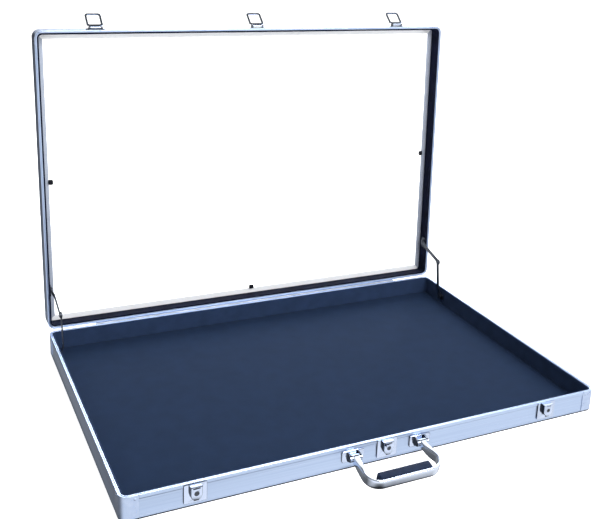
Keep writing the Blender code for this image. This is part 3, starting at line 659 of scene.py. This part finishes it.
# %% Wall linings
def outline(inset, radius, per_corner=12, per_side=40):
    """Rounded rectangle round the case at an inset, with the outward direction at each point."""
    half = np.array([HALF_W - inset - radius, HALF_D - inset - radius])
    points, normals = [], []
    signs = np.array([(1, 1), (-1, 1), (-1, -1), (1, -1)])
    for i, sign in enumerate(signs):
        q = np.linspace(i, i + 1, per_corner) * math.pi / 2
        turn = np.stack([np.cos(q), np.sin(q)], 1)
        points.append(sign * half + radius * turn)
        normals.append(turn)
        following = signs[(i + 1) % 4]
        share = np.linspace(0, 1, per_side)[1:-1, None]
        ends = sign * half + radius * turn[-1], following * half + radius * turn[-1]
        points.append(ends[0] * (1 - share) + ends[1] * share)
        normals.append(np.tile(turn[-1], (per_side - 2, 1)))
    return np.vstack(points), np.vstack(normals)


def superellipse(count, power):
    """Closed curve |x|^p + |y|^p = 1: x = sign(cos) |cos|^(2/p), y the same with sin."""
    q = np.linspace(0, 2 * math.pi, count, endpoint=False)
    c, s = np.cos(q), np.sin(q)
    x, y = (np.sign(v) * np.abs(v) ** (2 / power) for v in (c, s))
    return np.stack([x, y], 1)


BOARD_IN, BOARD_R, BOARD_HALF_T = 6.4 * MM, 7.6 * MM, 1.45 * MM


def lining(name, tray, t0, t1, node, cloth):
    """Ring of padded board between two depths; at point i its half thickness is
    T (1 + 0.02 sin(0.21 i) sin(0.05 i)), so that its faces are gently uneven."""
    at, out = outline(BOARD_IN, BOARD_R)
    section = superellipse(28, 7.0)
    swell = 1 + 0.02 * np.sin(np.arange(len(at)) * 0.21) * np.sin(np.arange(len(at)) * 0.05)
    u = section[None, :, 0] * BOARD_HALF_T * swell[:, None]
    t = (t0 + t1) / 2 + section[:, 1] * (t1 - t0) / 2
    xy = at[:, None, :] - out[:, None, :] * u[..., None]
    z = BASE_H - t if tray == "base" else BASE_H + PART_GAP + t
    grid = np.dstack([xy, np.broadcast_to(z, xy.shape[:2])])
    if tray == "lid":
        grid = turned(grid, HINGE, -OPEN)
    ring = piece(name, [grid_shape(grid, wrap_rows=True)], cloth, tray, [node])


UNDER_RIM, OVER_FOOT, LID_DEEP = 0.4 * MM, 3.1 * MM, 26.1 * MM
lining("base_wall_felt", "base", UNDER_RIM, BASE_H - OVER_FOOT, "base_lining", wall_cloth)
lining("lid_wall_felt", "lid", UNDER_RIM, LID_DEEP, "lid_lining", lid_cloth)


# %% Padded floor board
PAD_IN, PAD_R, PAD_LEAST_R = 8.2 * MM, 5.8 * MM, 1 * MM


def padded_floor():
    """Rings from the bottom's middle, round a rolled edge, to a top crowned by half a mm."""
    low, high = (corner.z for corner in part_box("base_pad"))
    edge = (high - low) / 2
    q = np.linspace(-math.pi / 2, math.pi / 2, 9)
    crown_in, crown_up = np.array([(6, 0.15), (20, 0.3), (60, 0.45), (130, 0.5)]).T * MM
    insets = np.concatenate([[60 * MM], edge * (1 - np.cos(q)), crown_in])
    lifts = np.concatenate([[low], (low + high) / 2 + edge * np.sin(q), high + crown_up])
    rings = []
    for inset, z in zip(insets, lifts):
        at, _ = outline(PAD_IN + inset, max(PAD_R - inset, PAD_LEAST_R))
        rings.append(np.column_stack([at, np.full(len(at), z)]))
    rings = [rings[0] * [0, 0, 1]] + rings + [rings[-1] * [0, 0, 1]]
    return piece("padded_floor", [grid_shape(np.array(rings))], floor_cloth, "base",
                 ["base_pad"])


padded_floor()
print("linings and floor pad made")

# %% [markdown]
# ## Handle
#
# The handle is cast in one piece: two arms that thicken into barrels on the bracket pins,
# and a band that turns round two big corners. Its section is a rather square superellipse
# that grows taller towards the front, so the plate shows broad white faces with dark
# edges. The grip is a moulded bar that sits inside the band.

# %% Handle sizes
PIVOT = np.array(joints["handle_swing"]["pos_m"])
grip_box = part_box("handle_grip")
REACH, HALF_OUT, BAND, BEND = 66 * MM, 68.5 * MM, 4.5 * MM, 26 * MM
ROOT, END_GAP, BARREL_R = 14 * MM, 0.5 * MM, 6 * MM
ROOT_TALL, EXTRA_TALL, TALL_BY = 5.4 * MM, 2.8 * MM, 30 * MM
DROOP = math.radians(12)


def handle_side(half, reach, bend, root):
    """Half a D in plan: an arm that thins as the square of the way along, and a quarter circle."""
    share = np.linspace(0, 1, 16)[:-1]
    arm = np.stack([root + (half - root) * share ** 2, (reach - bend) * share], 1)
    q = np.linspace(0, math.pi / 2, 26)
    corner = np.stack([half - bend + bend * np.cos(q), reach - bend + bend * np.sin(q)], 1)
    return np.vstack([arm, corner])


def handle_band():
    """Sweep of a superellipse between the outer and inner outlines, taller towards the front."""
    outer = handle_side(HALF_OUT, REACH, BEND, HALF_OUT - END_GAP)
    inner = handle_side(HALF_OUT - BAND, REACH - BAND, BEND - BAND, HALF_OUT - ROOT + END_GAP)
    outer, inner = (np.vstack([side, side[::-1] * [-1, 1]]) for side in (outer, inner))
    middle, across = (outer + inner) / 2, (outer - inner) / 2
    rise = np.clip(middle[:, 1] / TALL_BY, 0, 1)
    tall = ROOT_TALL + EXTRA_TALL * rise ** 2 * (3 - 2 * rise)
    section = superellipse(40, 4.6)
    xv = middle[:, None, :] + across[:, None, :] * section[None, :, :1]
    grid = np.dstack([xv[..., 0], -xv[..., 1], tall[:, None] * section[None, :, 1]])
    return turned(grid + PIVOT, PIVOT, DROOP)


def barrel(centre_x, half, radius):
    """A round boss along X whose ends are softened: r = R (1 - |x/half|^16)^(1/16)."""
    x = np.sin(np.linspace(-math.pi / 2, math.pi / 2, 25))
    r = radius * (1 - np.abs(x) ** 16) ** (1 / 16)
    q = np.linspace(0, 2 * math.pi, 40, endpoint=False)
    grid = np.dstack([np.broadcast_to((centre_x + half * x)[:, None], (25, 40)),
                      r[:, None] * np.cos(q), r[:, None] * np.sin(q)])
    return grid + PIVOT


arms = [barrel(side * (HALF_OUT - ROOT / 2), ROOT / 2, BARREL_R) for side in (-1, 1)]
piece("cast_handle", [grid_shape(handle_band(), caps=True)] + [grid_shape(g) for g in arms],
      handle_plate, "handle", ["handle_bail"], sharp=50)


# %% Grip
GRIP_HALF_DEPTH, GRIP_HALF_TALL, GRIP_GAP = 8.2 * MM, 7.6 * MM, 0.6 * MM


def grip_bar():
    """Bar along X with a superellipse section whose size falls to nothing at both ends."""
    half_x = (grip_box[1].x - grip_box[0].x) / 2
    x = np.sin(np.linspace(-math.pi / 2, math.pi / 2, 61))
    size = (1 - np.abs(x) ** 60) ** (1 / 8)
    section = superellipse(48, 6.5)
    middle = REACH - BAND - GRIP_GAP - GRIP_HALF_DEPTH
    y = -middle + GRIP_HALF_DEPTH * size[:, None] * section[None, :, 0]
    z = GRIP_HALF_TALL * size[:, None] * section[None, :, 1]
    grid = np.dstack([np.broadcast_to((half_x * x)[:, None], y.shape), y, z])
    return turned(grid + PIVOT, PIVOT, DROOP)


piece("moulded_grip", [grid_shape(grip_bar())], navy_plastic, "handle",
      ["handle_grip"], sharp=60)
print("handle and grip made")

# %% [markdown]
# ## Bezel
#
# The window is held by a flat frame of four strips, mitred at the corners. The level strips
# are white lacquer, and the upright ones are coloured grey as painted shade and reflection.
# One ring between two outlines makes all four, and each face's place picks its grey.

# %% Four mitred strips
BEZEL_REACH, BEZEL_R = 18 * MM, 2 * MM


def bezel_frame():
    """Between two outlines: middle + a (outer - inner) / 2, with (a, b) on a superellipse."""
    points = np.array([v.co[:] for v in nodes["lid_bezel"].data.vertices])
    depth = turned(points, HINGE, OPEN)[:, 2]
    outer, _ = outline(WALL + PART_GAP, CORNER_R - WALL - PART_GAP)
    inner, _ = outline(BEZEL_REACH, BEZEL_R)
    section = superellipse(16, 6.0)
    across = section[:, 0][None, :, None]
    xy = ((outer + inner) / 2)[:, None, :] + ((outer - inner) / 2)[:, None, :] * across
    z = depth.mean() + section[:, 1] * np.ptp(depth) / 2
    grid = np.dstack([xy, np.broadcast_to(z, xy.shape[:2])])
    return turned(grid, HINGE, -OPEN)


bezel = piece("window_bezel", [grid_shape(bezel_frame(), wrap_rows=True)], bezel_white, "lid",
              ["lid_bezel"])


def upright_strips(middles, normals):
    """Faces nearer a side wall than the front or back one, with the lid turned shut."""
    shut = np.abs(turned(middles, HINGE, OPEN))
    return HALF_W - shut[:, 0] < HALF_D - shut[:, 1]


# The upright strips are coloured grey as painted shade and reflection.
print("bezel faces on the upright strips:", second_finish(bezel.data, bezel_painted_shade, upright_strips))


# %% [markdown]
# ## Stamped and cast fittings
#
# Latches, stays, brackets and clips have the right shape in the frame, but their edges
# are knife sharp, and a real stamping or casting always has a small radius that catches
# the light. Each is copied, its loose triangles are joined into whole faces, and a Bevel
# modifier rounds every edge that turns by more than 30 degrees. Plates are bright nickel
# whose side walls and rounded edges are coloured dark as painted shade and dark reflection;
# plugs, catches, mounts and stays are dark steel.


# %% Soften a frame part's edges
def painted_shade_faces(middles, normals):
    """Faces square to the case's front, but for those that look up: the faces that take painted
    shade.
    """
    return (np.abs(normals[:, 1]) < 0.3) & (normals[:, 2] < 0.5)


def softened(node, body, mat, radius_mm, segments=2, painted_shade_mat=None):
    """A copy of a frame part with rounded edges, which stands for it; its side walls and
    rounded edges may take a darker finish of painted shade and dark reflection.
    """
    mesh = nodes[node].data.copy()
    bm = bmesh.new()
    bm.from_mesh(mesh)
    bmesh.ops.remove_doubles(bm, verts=bm.verts, dist=2e-6)
    bmesh.ops.dissolve_limit(bm, angle_limit=math.radians(1), verts=bm.verts, edges=bm.edges)
    bm.to_mesh(mesh)
    bm.free()
    mesh.materials.clear()
    mesh.materials.append(mat)
    if painted_shade_mat:
        second_finish(mesh, painted_shade_mat, painted_shade_faces)
    mesh.shade_smooth()
    mesh.set_sharp_from_angle(angle=math.radians(40))
    obj = bpy.data.objects.new(f"{node}_finished", mesh)
    bpy.context.scene.collection.objects.link(obj)
    edge = obj.modifiers.new("edge_radius", "BEVEL")
    edge.width = radius_mm * MM
    edge.segments = segments
    edge.limit_method = "ANGLE"
    edge.angle_limit = math.radians(30)
    edge.harden_normals = True
    edge.material = 1 if painted_shade_mat else -1
    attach(obj, body)
    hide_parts(node)


# Keepers take a darker finish on their side walls and rounded edges: painted shade and dark
# reflection.
for side in LATCH_SIDES:
    softened(f"latch_keeper_{side}", "base", latch_plate, 1.0, 3, painted_dark_edge)
    softened(f"lock_plug_{side}", f"plug_body_{side}", dark_steel, 0.12)
    softened(f"latch_catch_{side}", f"catch_body_{side}", dark_steel, 0.15)
    softened(f"hasp_mount_{side}", "lid", dark_steel, 0.25)
    softened(f"hasp_{side}", f"hasp_body_{side}", latch_plate, 0.7, 3)
for side in ("left", "right"):
    # Brackets too take the darker finish of painted shade and dark reflection on walls and edges.
    softened(f"handle_bracket_{side}", "base", latch_plate, 0.45, 2, painted_dark_edge)
    softened(f"stay_mount_{side}", "base", dark_steel, 0.2)
    softened(f"lid_stay_mount_{side}", "lid", dark_steel, 0.2)
    softened(f"stay_lower_arm_{side}", f"lower_stay_{side}", dark_steel, 0.25)
    softened(f"stay_upper_arm_{side}", f"upper_stay_{side}", dark_steel, 0.25)
for side in ("back", "left", "right"):
    softened(f"lid_clip_{side}", "lid", black_plastic, 0.35)
print("fittings softened")

# %% [markdown]
# ## Hinge rivets
#
# A long hinge is riveted to both back rails every few centimetres. The heads are low
# domes on the outer faces of the leaves, so they show from behind.

# %% Rivets on both leaves
LEAF_OUT, RIVET_DROP = 1.3 * MM, 11 * MM
rivet_x = np.linspace(-0.320, 0.320, 9)
for tray, drop in (("base", -RIVET_DROP), ("lid", RIVET_DROP + PART_GAP)):
    heads = [dome((x, HALF_D + LEAF_OUT, BASE_H + drop), (0, 1, 0), 1.9 * MM, 0.7 * MM)
             for x in rivet_x]
    if tray == "lid":
        heads = [turned(head, HINGE, -OPEN) for head in heads]
    piece(f"{tray}_hinge_rivets", [grid_shape(head) for head in heads], steel, tray)
print("hinge rivets:", 2 * len(rivet_x))

# %% [markdown]
# ## Parts that keep their frame shape
#
# The hinge leaves, the pin, the bottom sheet and the window are right as they are. They
# only take their finishes.

# %% Finish the remaining frame parts
for name, mat in (("base_hinge_leaf", steel), ("lid_hinge_leaf", steel), ("hinge_pin", steel),
                  ("base_panel", bottom_sheet), ("lid_window", acrylic)):
    nodes[name].data.materials.clear()
    nodes[name].data.materials.append(mat)
print("five frame parts finished")
